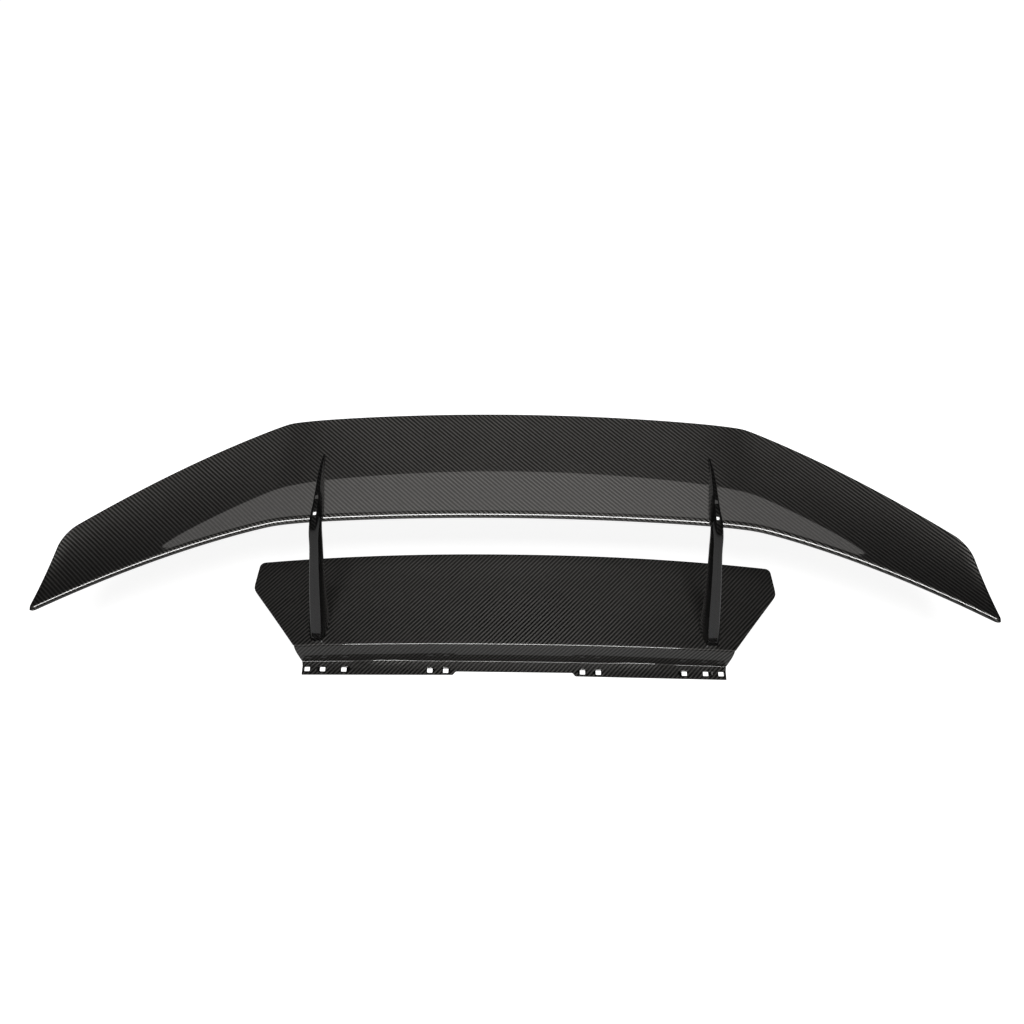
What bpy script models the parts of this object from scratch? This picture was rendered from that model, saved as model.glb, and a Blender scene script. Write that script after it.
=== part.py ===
"""Racing rear wing: a swept carbon blade on two swan-neck struts and a flanged base.

+X runs along the span, +Y towards the rear of the car and +Z up, in metres. The origin is
the middle of the base's flat seat, on the surface that the wing stands on. Left is -X.
"""
from math import atan, cos, pi, radians, sin, sqrt

import bmesh
import bpy
from mathutils import Vector

# --- fits and wall thicknesses ---
GAP = 0.0003          # left between touching pieces
SKIN = 0.0020         # blade skins and strut shells
DECK_WALL = 0.0023
FLANGE_WALL = 0.0020

# --- blade: its edges in plan, then its section ---
TIP_SPAN = 0.742
TIP_SKEW = 0.024      # the tip edge runs inwards by this towards the rear
FRONT_CORNER = 0.010  # radius of the tip's front corner in plan
REAR_CORNER = 0.031
LEADING = dict(start=-0.0121, bow=0.128, kink=0.383, blend=0.018, sweep=0.206, curl=0.348)
TRAILING = dict(start=0.189, bow=0.168, kink=0.3745, blend=0.009, sweep=0.356, curl=0.375)
BLADE_TOP = 0.300     # height of the top surface just behind the nose
DROOP_KINK = 0.330    # outboard of this the blade droops
DROOP = 0.0524        # by this much per metre of span
TOP_SLOPE = 0.016     # slope of the top surface at the nose
TOP_CURVE = 0.110     # and how much it steepens along the chord
NOSE_RISE = 0.006
NOSE_LENGTH = 0.05    # as a fraction of the chord, like all places along it
BLUNTNESS = 0.41
FULLNESS = 0.12
EDGE_THICKNESS = 0.0025
BOND_FRONT = 0.036    # where the lower skin starts, under the nose
BOND_REAR = 0.940     # where it ends, in front of the solid trailing edge
MAIN_SPAR_AT = 0.420
REAR_SPAR_AT = 0.720
SPAR_SPAN = 0.690
RIB_HALF = 0.00125    # half the thickness of a rib
MOUNT_RIB_SPANS = (0.2995, 0.3315)
MOUNT_RIB_REACH = (0.10, 0.40)
TIP_RIB_SPAN = 0.700
TIP_RIB_REACH = (0.10, 0.64)
INSERT_SPANS = (0.3060, 0.3250)
INSERT_REACH = (0.13, 0.33)
INSERT_DEPTH = 0.008

# --- strut ---
FOOT_X, FOOT_CENTRE = 0.3305, -0.031
BLOCK_SIZE = (0.0140, 0.038, 0.014)
PLATE_SIZE = (0.034, 0.062, 0.003)
PLATE_CLEARANCE = 0.0006
FOOT_BOLTS = (-0.012, 0.012)       # along the foot, from its centre
FOOT_BOLT_RADIUS = 0.0040
FOOT_BOLT_LENGTH = 0.022
WASHER_RIM, WASHER_THICK = 0.0080, 0.0016
FIN_BOLTS = ((0.3151, 0.006), (0.3159, 0.034))
FIN_BOLT_RADIUS = 0.0025
FIN_BOLT_LENGTH = 0.0215
BOLT_RECESS = 0.004   # how far a fin's screw hole runs down past its seat
CORE_PLACES = (1.5, 10.0)          # between which cuts of the strut its core runs
CORE_FRONT = (0.22, 0.56)          # where the core starts across a cut, in the neck and in the fin
CORE_HALF = 0.0038

# --- base ---
DECK_FRONT = -0.0721  # the deck's front crease, at the middle
DECK_REAR = 0.106
DECK_HALF = 0.4515    # where the deck is widest
DECK_NARROW = 0.373   # half its width at its front crease
DECK_WIDEST = 0.68    # how far back it is widest, from its front crease (0) to its rear edge (1)
DECK_SIDE = 0.0078    # how far its side runs in behind that
DECK_CORNER = 0.008   # radius of its rear corners
CORNER_START = 0.85   # where they start, from the widest place (0) to the rear edge (1)
DECK_BASE = 0.0315
DECK_CROWN = 0.008
DECK_SLOPE = (0.155, 0.120)        # in front of the faint crease across the deck, and behind it
DECK_CREASE = 0.020
FLANGE_HALF = 0.3585
TAB_INNER = 0.101     # inboard of this the flange is cut back
CLIP_HOLES = (0.1157, 0.1425, 0.288, 0.324, 0.350)
CLIP_HOLE_SIZE = (0.009, 0.010)
CLIP_HOLE_Y = -0.1005
RAMP = 0.0026         # the flange climbs by this towards the riser, between its groups of holes
RAMP_ENDS = (0.150, 0.200, 0.225, 0.282)
STRIP_DEPTH = 0.0175  # the flat strip along the flange's edge
TRAY_FRONT, TRAY_REAR = -0.064, 0.084
TRAY_HALF_FRONT, TRAY_HALF_REAR = 0.286, 0.305
BEAM_HALF = 0.270
BEAM_FRONT, BEAM_BACK = -0.032, -0.026


# ---------------------------------------------------------------- making objects

def material(name, colour, roughness, metallic=0.0, coat=0.0):
    made = bpy.data.materials.new(name)
    made.use_nodes = True
    shader = made.node_tree.nodes["Principled BSDF"]
    shader.inputs["Base Color"].default_value = (*colour, 1.0)
    shader.inputs["Roughness"].default_value = roughness
    shader.inputs["Metallic"].default_value = metallic
    shader.inputs["Coat Weight"].default_value = coat
    return made


def object_from(name, work, look, parent=None):
    """Finish a bmesh as one named object with its faces pointing out."""
    bmesh.ops.recalc_face_normals(work, faces=work.faces)
    if work.calc_volume(signed=True) < 0:
        bmesh.ops.reverse_faces(work, faces=work.faces)
    mesh = bpy.data.meshes.new(name)
    work.to_mesh(mesh)
    work.free()
    mesh.shade_smooth()
    mesh.set_sharp_from_angle(angle=radians(32))
    mesh.materials.append(look)
    made = bpy.data.objects.new(name, mesh)
    bpy.context.collection.objects.link(made)
    made.parent = parent
    return made


def loft(name, rings, look, closed=False, parent=None):
    """Join rings of points into a solid; a closed one joins its last ring to its first."""
    work = bmesh.new()
    loops = [[work.verts.new(point) for point in ring] for ring in rings]
    pairs = list(zip(loops, loops[1:]))
    if closed:
        pairs.append((loops[-1], loops[0]))
    for one, two in pairs:
        for here in range(len(one)):
            after = (here + 1) % len(one)
            work.faces.new((one[here], one[after], two[after], two[here]))
    if not closed:
        work.faces.new(loops[0])
        work.faces.new(loops[-1])
        ends = [face for face in work.faces if len(face.verts) > 4]
        bmesh.ops.triangulate(work, faces=ends)
    return object_from(name, work, look, parent)


def thick_sheet(name, outer, inner, look):
    """Close the space between two grids of points that lie a wall apart."""
    work = bmesh.new()
    skins = [[[work.verts.new(point) for point in row] for row in grid] for grid in (outer, inner)]
    last_row = len(outer) - 1
    last_column = len(outer[0]) - 1
    for skin in skins:
        for row, following in zip(skin, skin[1:]):
            for column in range(last_column):
                work.faces.new((row[column], row[column + 1], following[column + 1], following[column]))
    out, back = skins
    for row in (0, last_row):
        for column in range(last_column):
            work.faces.new((out[row][column], out[row][column + 1],
                            back[row][column + 1], back[row][column]))
    for column in (0, last_column):
        for row in range(last_row):
            work.faces.new((out[row][column], out[row + 1][column],
                            back[row + 1][column], back[row][column]))
    return object_from(name, work, look)


def ring_of(radius, height, sides=16, hexagon=False):
    """A level ring of points; a hexagonal one has the radius as its half width across flats."""
    points = []
    for step in range(sides):
        turn = 2 * pi * step / sides
        reach = radius
        if hexagon:
            reach = radius / cos((turn + pi / 6) % (pi / 3) - pi / 6)
        points.append(Vector((reach * cos(turn), reach * sin(turn), height)))
    return points


def cut(body, cutter):
    """Take a cutter's shape out of a body."""
    cutter.hide_render = True
    cutter.display_type = "WIRE"
    step = body.modifiers.new("cut by " + cutter.name, "BOOLEAN")
    step.operation = "DIFFERENCE"
    step.solver = "EXACT"
    step.object = cutter


def drill(name, radius, low, high, place, parent=None):
    """A round cutter along Z."""
    tool = loft(name, [ring_of(radius, low), ring_of(radius, high)], LOOKS["steel"], parent=parent)
    tool.location = place
    return tool


def cap_screw(name, radius, length, place, parent=None):
    """A socket cap screw that points up, with the underside of its head at its origin."""
    head = 1.7 * radius
    socket = radius
    rings = [ring_of(socket, -radius, 12, True), ring_of(socket, -2 * radius, 12, True),
             ring_of(head - 0.0004, -2 * radius, 12), ring_of(head, -2 * radius + 0.0004, 12),
             ring_of(head, 0.0, 12), ring_of(radius, 0.0, 12),
             ring_of(radius, length - 0.0006, 12), ring_of(radius - 0.0006, length, 12)]
    screw = loft(name, rings, LOOKS["steel"], parent=parent)
    screw.location = place
    return screw


# ---------------------------------------------------------------- blade surfaces

def past_kink(span, kink, blend):
    """Nothing inboard of the kink and the distance past it outboard, with a soft corner."""
    return 0.5 * (span - kink + sqrt((span - kink) ** 2 + blend ** 2))


def edge_y(span, start, bow, kink, blend, sweep, curl):
    """Where an edge of the blade lies: bowed, and swept forward outboard of its kink."""
    past = past_kink(span, kink, blend) - past_kink(0.0, kink, blend)
    return start - bow * span ** 2 - sweep * past - curl * past ** 2


def corner_cut(span, radius):
    """How far a rounded corner of the tip has come in at this span, and its roundness left."""
    depth = max(0.0, (span - TIP_SPAN + radius) / radius)
    left = sqrt(max(0.0, 1.0 - depth ** 2))
    return radius * (1.0 - left), left


def section(span):
    """Nose, chord, height, skew and fullness of the blade at a distance from its middle."""
    lead_cut, left = corner_cut(span, FRONT_CORNER)
    trail_cut = corner_cut(span, REAR_CORNER)[0]
    skew = TIP_SKEW * min(1.0, max(0.0, (span - 0.45) / (TIP_SPAN - 0.45))) ** 2
    nose = edge_y(span, **LEADING) + lead_cut
    chord = edge_y(span - skew, **TRAILING) - trail_cut - nose
    height = BLADE_TOP - DROOP * past_kink(span, DROOP_KINK, 0.03)
    return nose, chord, height, skew, 0.35 + 0.65 * left


def rise(along, chord):
    """Height of the top surface over its height just behind the nose."""
    climb = chord * (TOP_SLOPE * along + TOP_CURVE * along ** 2)
    if along >= NOSE_LENGTH:
        return climb
    return climb - NOSE_RISE * (1.0 - sqrt(1.0 - (1.0 - along / NOSE_LENGTH) ** 2))


def thickness(along, chord, fullness):
    nose_part = BLUNTNESS * chord * sqrt(along) * (1.0 - along) ** 3
    body_part = FULLNESS * chord * along * (1.0 - along)
    return fullness * (nose_part + body_part) + EDGE_THICKNESS * along


def blade_point(span, along, under=0.0):
    """A point of the blade: under is 0 on its top surface and 1 on its underside."""
    nose, chord, height, skew, fullness = section(abs(span))
    side = 1.0 if span >= 0 else -1.0
    drop = under * thickness(along, chord, fullness)
    return Vector((side * (abs(span) - skew * along), nose + along * chord,
                   height + rise(along, chord) - drop))


def wall_at(span, along):
    """The wall of a skin, which thins where the blade does."""
    chord = section(abs(span))[1]
    fullness = section(abs(span))[4]
    return min(SKIN, 0.4 * (thickness(along, chord, fullness) - 2 * GAP))


def top_inside(span, along, gap=GAP):
    """A point just inside the upper skin."""
    return blade_point(span, along) - Vector((0, 0, wall_at(span, along) + gap))


def under_inside(span, along, gap=GAP):
    """A point just inside the lower skin."""
    return blade_point(span, along, 1.0) + Vector((0, 0, wall_at(span, along) + gap))


def blade_top_z(x, y):
    nose, chord, height = section(abs(x))[:3]
    return height + rise((y - nose) / chord, chord)


def blade_stations():
    half = [0.0, 0.08, 0.16, 0.24, 0.30, 0.335, 0.36, 0.385, 0.41, 0.45, 0.50, 0.55, 0.60, 0.65,
            0.69, 0.716, 0.730, 0.737, 0.741]
    return [-span for span in reversed(half[1:])] + half


def inset(points, depths):
    """Points moved towards the inside of a section that runs forwards along its top."""
    moved = []
    for number, point in enumerate(points):
        before = points[max(number - 1, 0)]
        after = points[min(number + 1, len(points) - 1)]
        along = Vector((0.0, after.y - before.y, after.z - before.z)).normalized()
        moved.append(point + depths[number] * Vector((0.0, -along.z, along.y)))
    return moved


def upper_skin():
    """The top, the nose and the solid trailing edge, in one moulding."""
    top = (BOND_REAR, 0.88, 0.75, 0.60, 0.45, 0.30, 0.18, 0.10, 0.05, 0.022, 0.007)
    under = (0.0, 0.006, 0.018, BOND_FRONT - 0.005)
    edge = (1.0, BOND_REAR + 0.006)
    outer, inner = [], []
    for span in blade_stations():
        outside = [blade_point(span, along) for along in top]
        outside += [blade_point(span, along, 1.0) for along in under]
        walls = [wall_at(span, max(along, 0.08)) for along in top + under]
        outer.append([blade_point(span, along) for along in edge] + outside)
        inner.append([blade_point(span, along, 1.0) for along in edge] + inset(outside, walls))
    return thick_sheet("blade_upper_skin", outer, inner, LOOKS["carbon"])


def lower_skin():
    places = (BOND_FRONT, 0.07, 0.13, 0.22, 0.34, 0.48, 0.62, 0.78, BOND_REAR - 0.004)
    outer, inner = [], []
    for span in blade_stations():
        outside = [blade_point(span, along, 1.0) for along in places]
        outer.append(outside)
        inner.append(inset(outside, [wall_at(span, max(along, 0.08)) for along in places]))
    return thick_sheet("blade_lower_skin", outer, inner, LOOKS["carbon"])


def blade_spars():
    """A channel on the blade's thick part and a flat strip near its trailing edge."""
    spans = [span for span in blade_stations() if abs(span) <= SPAR_SPAN]
    lip = Vector((0, 0, 0.0022))
    channel, strip = [], []
    for span in spans:
        chord = section(abs(span))[1]
        front = MAIN_SPAR_AT
        web = front + 0.003 / chord
        back = front + 0.012 / chord
        tops = [top_inside(span, along) for along in (front, web, back)]
        lows = [under_inside(span, along) for along in (front, web, back)]
        channel.append([tops[0], tops[2], tops[2] - lip, tops[1] - lip,
                        lows[1] + lip, lows[2] + lip, lows[2], lows[0]])
        ends = (REAR_SPAR_AT, REAR_SPAR_AT + 0.010 / chord)
        strip.append([top_inside(span, ends[0]), top_inside(span, ends[1]),
                      under_inside(span, ends[1]), under_inside(span, ends[0])])
    loft("blade_main_spar", channel, LOOKS["carbon"])
    loft("blade_rear_spar", strip, LOOKS["carbon"])


def blade_rib(name, span, reach):
    """A plate across the inside of the blade, between two places along its chord."""
    first, last = reach
    places = [first + (last - first) * step / 5 for step in range(6)]
    rings = []
    for side in (-RIB_HALF, RIB_HALF):
        top = [top_inside(span + side, along, 3 * GAP) for along in places]
        under = [under_inside(span + side, along, 3 * GAP) for along in reversed(places)]
        rings.append(top + under)
    return loft(name, rings, LOOKS["carbon"])


def blade_insert(name, side):
    """The block that the fin's screws clamp: it fills the blade under the fin's front."""
    first, last = INSERT_REACH
    places = [first + (last - first) * step / 4 for step in range(5)]
    rings = []
    for span in INSERT_SPANS:
        top = [top_inside(side * span, along, 2 * GAP) for along in places]
        under = [point - Vector((0, 0, INSERT_DEPTH)) for point in reversed(top)]
        rings.append(top + under)
    return loft(name, rings, LOOKS["aluminium"])


# ---------------------------------------------------------------- struts

# Each row is a cut across the strut, from the foot up the neck, over the nose and along the fin:
# the front (or top) point as y, z; the back (or under) point as y, z; the middle of the cut as x
# at its front and at its back; and its half width at the front, in the middle and at the back.
STRUT_CUTS = (
    (-0.0670, 0.0345, 0.0060, 0.0450, 0.3345, 0.3290, 0.0095, 0.0165, 0.0070),
    (-0.0668, 0.0520, -0.0020, 0.0590, 0.3340, 0.3280, 0.0094, 0.0158, 0.0068),
    (-0.0660, 0.0900, -0.0140, 0.0940, 0.3320, 0.3252, 0.0089, 0.0140, 0.0062),
    (-0.0640, 0.1500, -0.0235, 0.1520, 0.3288, 0.3222, 0.0080, 0.0120, 0.0056),
    (-0.0605, 0.2100, -0.0285, 0.2110, 0.3252, 0.3186, 0.0069, 0.0106, 0.0052),
    (-0.0570, 0.2580, -0.0320, 0.2580, 0.3220, 0.3155, 0.0060, 0.0096, 0.0050),
    (-0.0515, 0.2920, -0.0315, 0.2890, 0.3210, 0.3145, 0.0055, 0.0094, 0.0056),
    (-0.0390, 0.3150, -0.0285, 0.3020, 0.3190, 0.3145, 0.0049, 0.0089, 0.0072),
    (-0.0190, 0.3270, -0.0140, 0.3010, 0.3165, 0.3149, 0.0042, 0.0076, 0.0083),
    (0.0070, 0.3290, 0.0070, 0.3000, 0.3160, 0.3150, 0.0034, 0.0063, 0.0083),
    (0.0360, 0.3260, 0.0360, 0.3000, 0.3163, 0.3158, 0.0028, 0.0052, 0.0071),
    (0.0690, 0.3210, 0.0690, 0.3000, 0.3160, 0.3158, 0.0022, 0.0036, 0.0045),
    (0.0900, 0.3168, 0.0910, 0.3000, 0.3151, 0.3150, 0.0016, 0.0024, 0.0029),
    (0.1030, 0.3142, 0.1060, 0.3000, 0.3143, 0.3140, 0.0010, 0.0014, 0.0017),
)
CUTS_BETWEEN = 2
NECK_END = 5          # the cuts after this one can land on the blade
BLADE_START = -0.016  # the y from which they do
FIN_START, FIN_BLEND = 7.0, 1.5    # the cut where the fin starts and the cuts that it takes to form
SHELL_PLACES = (0.0, 0.03, 0.25, 0.5, 0.75, 0.95, 1.0)


def between(rows, place):
    """A row read from a smooth curve through the given ones."""
    index = min(int(place), len(rows) - 2)
    part = place - index
    four = [rows[min(max(index + step, 0), len(rows) - 1)] for step in (-1, 0, 1, 2)]
    weights = (-0.5 * part + part ** 2 - 0.5 * part ** 3,
               1.0 - 2.5 * part ** 2 + 1.5 * part ** 3,
               0.5 * part + 2.0 * part ** 2 - 1.5 * part ** 3,
               -0.5 * part ** 2 + 0.5 * part ** 3)
    return [sum(weight * row[column] for weight, row in zip(weights, four))
            for column in range(len(rows[0]))]


class StrutCut:
    """One cut across a strut, which lands on the deck at one end and on the blade at the other."""

    def __init__(self, place, side):
        row = between(STRUT_CUTS, place)
        self.side = side
        self.front = Vector((row[4], row[0], row[1]))
        self.back = Vector((row[5], row[2], row[3]))
        self.halves = row[6:9]
        self.on_deck = place == 0
        if place > NECK_END and self.back.y > BLADE_START:
            self.back.z = blade_top_z(self.back.x, self.back.y) + GAP
        self.length = (self.back - self.front).length

    def half_width(self, along):
        front, middle, back = self.halves
        return (front * (1 - along) * (1 - 2 * along) + middle * 4 * along * (1 - along)
                + back * along * (2 * along - 1))

    def point(self, along, sideways):
        """A point of the cut, some way from its middle towards the car's outside."""
        here = self.front.lerp(self.back, along)
        x = here.x + sideways
        height = deck_z(x, here.y) + 1.5 * GAP if self.on_deck else here.z
        return Vector((self.side * x, here.y, height))


def strut_places():
    count = (len(STRUT_CUTS) - 1) * CUTS_BETWEEN
    return [step / CUTS_BETWEEN for step in range(count + 1)]


def strut_shell(name, side, outward):
    """Half of a strut's skin: outward is 1 for the half on the car's outside and -1 for the other."""
    outer, inner = [], []
    middle = outward * GAP / 2
    for place in strut_places():
        piece = StrutCut(place, side)
        outside = [piece.point(0.0, middle)]
        inside = []
        wall = min(0.3, SKIN / piece.length)
        for along in SHELL_PLACES:
            at_edge = along in (0.0, 1.0)
            half = piece.half_width(along) * (0.8 if at_edge else 1.0)
            outside.append(piece.point(along, outward * half))
            deep = wall + along * (1 - 2 * wall)
            hollow = max(GAP / 2, piece.half_width(deep) - SKIN)
            inside.append(piece.point(deep, outward * hollow))
        outside.append(piece.point(1.0, middle))
        inside = [piece.point(wall, middle)] + inside + [piece.point(1.0 - wall, middle)]
        outer.append(outside)
        inner.append(inside)
    return thick_sheet(name, outer, inner, LOOKS["carbon"])


def strut_core(name, side):
    """The plate inside a strut, which thickens at the fin's root, where its screws go in."""
    rings = []
    start, end = CORE_PLACES
    neck_front, fin_front = CORE_FRONT
    for place in [place for place in strut_places() if start <= place <= end]:
        piece = StrutCut(place, side)
        in_fin = min(1.0, max(0.0, (place - FIN_START) / FIN_BLEND))
        first = neck_front + (fin_front - neck_front) * in_fin
        last = 1.0 - 2.4 * SKIN / piece.length
        near, far = (min(CORE_HALF, piece.half_width(along) - SKIN - 2 * GAP) for along in (first, last))
        corners = ((first, -near), (first, near), (last, far), (last, -far))
        rings.append([piece.point(along, sideways) for along, sideways in corners])
    return loft(name, rings, LOOKS["aluminium"])


# ---------------------------------------------------------------- base

def deck_z(x, y):
    """Height of the deck's top, crowned across the car and sloping up to the rear."""
    before, after = DECK_SLOPE
    past = past_kink(y, DECK_CREASE, 0.008)
    crown = DECK_CROWN * (1.0 - (x / DECK_HALF) ** 2)
    return DECK_BASE + crown + before * (y - DECK_FRONT) + (after - before) * past


def deck_front_y(x):
    return DECK_FRONT - 0.0035 * (x / 0.371) ** 2


def deck_rear_y(x):
    return DECK_REAR - 0.0165 * (abs(x) / 0.425) ** 2.2


def flange_crease_y(x):
    return -0.080 - 0.005 * (x / 0.360) ** 2


def flange_edge_y(x):
    """The flange's front edge, cut back between its two tabs."""
    tab = min(1.0, max(0.0, (abs(x) - TAB_INNER + 0.0025) / 0.005))
    tab_edge = -0.1085 - 0.0035 * (abs(x) - TAB_INNER) / (FLANGE_HALF - TAB_INNER)
    return -0.1014 + tab * (tab_edge + 0.1014)


def ramp(x):
    """How high the flange stands at its crease with the riser over its flat strip."""
    start, top_start, top_end, end = RAMP_ENDS
    up = (abs(x) - start) / (top_start - start)
    down = (end - abs(x)) / (end - top_end)
    part = min(1.0, max(0.0, min(up, down)))
    return RAMP * part * part * (3.0 - 2.0 * part)


def deck_half_width(along):
    """Half width of the deck from its front crease (0) to its rear edge (1)."""
    if along < DECK_WIDEST:
        return DECK_NARROW + (DECK_HALF - DECK_NARROW) * along / DECK_WIDEST
    past = (along - DECK_WIDEST) / (1.0 - DECK_WIDEST)
    turned = max(0.0, (past - CORNER_START) / (1.0 - CORNER_START))
    return DECK_HALF - DECK_SIDE * past - DECK_CORNER * (1.0 - sqrt(max(0.0, 1.0 - turned ** 2)))


def base_columns():
    step = TAB_INNER / FLANGE_HALF
    half = [0.0, 0.10, 0.19, step - 0.012, step - 0.007, step, step + 0.007, step + 0.012, 0.38, 0.50,
            0.62, 0.74, 0.86, 0.94, 1.0]
    return [-place for place in reversed(half[1:])] + half


def deck_row(along):
    """A row of the deck, some way from its front crease (0) to its rear edge (1)."""
    def y_at(x):
        return deck_front_y(x) + along * (deck_rear_y(x) - deck_front_y(x))

    def z_at(x):
        return deck_z(x, y_at(x))

    return deck_half_width(along), y_at, z_at, (0.0, -DECK_WALL)


def base_rows():
    """Rows from the flange's edge to the deck's rear: half width, y and z at x, wall as y and z."""
    level = (0.0, -FLANGE_WALL)
    lean = (0.00196, -0.00038)
    rows = [
        (FLANGE_HALF, flange_edge_y, lambda x: FLANGE_WALL, level),
        (0.3590, lambda x: flange_edge_y(x) + STRIP_DEPTH, lambda x: FLANGE_WALL, level),
        (0.3596, lambda x: flange_crease_y(x) - 0.0028, lambda x: 0.0020 + ramp(x), level),
        (0.3600, lambda x: flange_crease_y(x) - 0.0006, lambda x: 0.0027 + ramp(x), (0.0010, -0.0018)),
        (0.3606, lambda x: flange_crease_y(x) + 0.0004, lambda x: 0.0050 + ramp(x), lean),
        (0.3664, lambda x: flange_crease_y(x) + 0.0032, lambda x: 0.62 * deck_z(x, DECK_FRONT), lean),
        (0.3715, lambda x: deck_front_y(x) - 0.0014, lambda x: deck_z(x, DECK_FRONT) - 0.0042, lean),
        (0.3725, lambda x: deck_front_y(x) - 0.0004, lambda x: deck_z(x, DECK_FRONT) - 0.0012,
         (0.0016, -0.0014)),
    ]
    deck = (0.008, 0.18, 0.36, 0.50, 0.54, 0.68, 0.71, 0.82, 0.95, 0.970, 0.986, 0.996, 1.0)
    return rows + [deck_row(along) for along in deck]


def base_moulding():
    """Deck, riser and flange in one sheet, with the square clip holes cut through the flange."""
    outer, inner = [], []
    for half, y_at, z_at, wall in base_rows():
        row = [Vector((column * half, y_at(column * half), z_at(column * half)))
               for column in base_columns()]
        outer.append(row)
        inner.append([point + Vector((0.0, *wall)) for point in row])
    deck = thick_sheet("base_deck", outer, inner, LOOKS["carbon"])
    wide, deep = (0.5 * size for size in CLIP_HOLE_SIZE)
    corners = ((-wide, -deep), (wide, -deep), (wide, deep), (-wide, deep))
    rings = [[Vector((a, b, z)) for a, b in corners] for z in (-0.004, 0.006)]
    for number, x in enumerate(sorted([-x for x in CLIP_HOLES] + list(CLIP_HOLES)), start=1):
        square = loft(f"clip_cutter_{number}", rings, LOOKS["carbon"])
        square.location = (x, CLIP_HOLE_Y, 0.0)
        cut(deck, square)
    return deck


def tray_outline(inset, height_at):
    """A ring round the tray, its side drawn in by an inset, at a height that may follow the deck."""
    front, rear = TRAY_FRONT + inset, TRAY_REAR - inset
    half_front, half_rear = TRAY_HALF_FRONT - inset, TRAY_HALF_REAR - inset
    steps = 14
    ring = []
    for step in range(steps):
        ring.append((half_front * (2 * step / steps - 1), front))
    for step in range(5):
        part = step / 5
        ring.append((half_front + (half_rear - half_front) * part, front + (rear - front) * part))
    for step in range(steps):
        ring.append((half_rear * (1 - 2 * step / steps), rear))
    for step in range(5):
        part = step / 5
        ring.append((-half_rear + (half_rear - half_front) * part, rear + (front - rear) * part))
    return [Vector((x, y, height_at(x, y))) for x, y in ring]


def under_tray():
    """An open pan that closes the base from below; its flat underside is the wing's seat."""
    def rim(x, y):
        return deck_z(x, y) - DECK_WALL - 2 * GAP

    flare = 0.008
    rings = [tray_outline(SKIN + flare, lambda x, y: SKIN), tray_outline(SKIN, rim),
             tray_outline(0.0, rim), tray_outline(flare, lambda x, y: 0.0)]
    return loft("base_under_tray", rings, LOOKS["carbon"])


def cross_beam():
    """A web across the base, between the tray's floor and the deck."""
    rings = []
    for x in (-BEAM_HALF, -BEAM_HALF / 3, BEAM_HALF / 3, BEAM_HALF):
        foot = SKIN + GAP
        roof = [deck_z(x, y) - DECK_WALL - 2 * GAP for y in (BEAM_FRONT, BEAM_BACK)]
        profile = ((BEAM_FRONT, foot), (BEAM_BACK, foot), (BEAM_BACK, roof[1]), (BEAM_FRONT, roof[0]))
        rings.append([Vector((x, y, z)) for y, z in profile])
    return loft("base_cross_beam", rings, LOOKS["carbon"])


def foot_frame(name, side):
    """An empty on the deck's top under a strut, square to the deck."""
    step = 0.001
    slope_x = (deck_z(FOOT_X + step, FOOT_CENTRE) - deck_z(FOOT_X - step, FOOT_CENTRE)) / (2 * step)
    slope_y = (deck_z(FOOT_X, FOOT_CENTRE + step) - deck_z(FOOT_X, FOOT_CENTRE - step)) / (2 * step)
    frame = bpy.data.objects.new(name, None)
    bpy.context.collection.objects.link(frame)
    frame.location = (side * FOOT_X, FOOT_CENTRE, deck_z(FOOT_X, FOOT_CENTRE))
    frame.rotation_euler = (atan(slope_y), -side * atan(slope_x), 0.0)
    return frame


def block(name, size, low, look, parent):
    """A rectangular block centred on its parent, standing on a height, with eased edges."""
    wide, deep, tall = (size[0] / 2, size[1] / 2, size[2])
    ease = 0.001
    rings = []
    for height, inset in ((0.0, ease), (ease, 0.0), (tall - ease, 0.0), (tall, ease)):
        a, b = wide - inset, deep - inset
        rings.append([Vector((x, y, low + height))
                      for x, y in ((-a, -b), (a, -b), (a, b), (-a, b))])
    return loft(name, rings, look, parent=parent)


def foot_parts(tag, side, deck):
    """What holds a strut's foot: a block inside it, and a plate, washers and screws under the deck."""
    frame = foot_frame(f"foot_frame_{tag}", side)
    plate_foot = -DECK_WALL - PLATE_CLEARANCE - PLATE_SIZE[2]
    foot = block(f"strut_foot_block_{tag}", BLOCK_SIZE, SKIN + GAP, LOOKS["aluminium"], frame)
    plate = block(f"backing_plate_{tag}", PLATE_SIZE, plate_foot, LOOKS["aluminium"], frame)
    washer_top = plate_foot - GAP
    washer_foot = washer_top - WASHER_THICK
    bore = FOOT_BOLT_RADIUS + GAP
    holes = []
    for number, along in enumerate(FOOT_BOLTS, start=1):
        place = (0.0, along, 0.0)
        hole = drill(f"foot_hole_{tag}_{number}", FOOT_BOLT_RADIUS + 2 * GAP, -0.020, 0.030, place, frame)
        holes.append(hole)
        for body in (foot, plate, deck):
            cut(body, hole)
        washer = loft(f"foot_washer_{tag}_{number}",
                      [ring_of(bore, washer_top), ring_of(WASHER_RIM, washer_top),
                       ring_of(WASHER_RIM, washer_foot), ring_of(bore, washer_foot)],
                      LOOKS["steel"], closed=True, parent=frame)
        washer.location = place
        cap_screw(f"foot_bolt_{tag}_{number}", FOOT_BOLT_RADIUS, FOOT_BOLT_LENGTH,
                  (0.0, along, washer_foot - GAP), frame)
    return holes


# ---------------------------------------------------------------- assembly

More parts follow.
